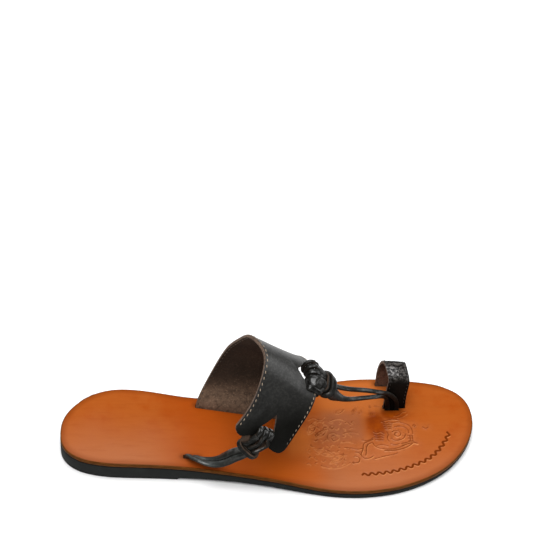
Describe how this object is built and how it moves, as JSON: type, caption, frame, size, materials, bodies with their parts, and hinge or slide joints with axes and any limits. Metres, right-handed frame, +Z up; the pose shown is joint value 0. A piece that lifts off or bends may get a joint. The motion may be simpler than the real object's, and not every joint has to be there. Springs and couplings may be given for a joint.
{
  "type": "leather toe-loop sandal",
  "caption": "Flat leather sandal for the right foot with a wide instep band, a toe loop, and a thong hitched through the band on each side.",
  "frame": {"origin": "on the floor, below the middle of the sole's length and width", "axes": "+X towards the toe, +Y towards the inner side of the foot, +Z up"},
  "size_m": [0.272, 0.0964, 0.0923],
  "materials": {
    "insole_leather": "tan vegetable-tanned leather, burnished edge",
    "outsole_rubber": "matt black rubber",
    "band_leather": "black leather with a soft sheen, brown suede back",
    "side_strap_leather": "black leather thong with a soft sheen",
    "front_strap_leather": "black leather thong with a soft sheen",
    "toe_loop_leather": "glossy black-brown leather"
  },
  "bodies": {
    "root": {"insole": "insole_leather", "outsole": "outsole_rubber", "band": "band_leather", "side_strap": "side_strap_leather", "front_strap": "front_strap_leather", "toe_loop": "toe_loop_leather"}
  },
  "joints": []
}
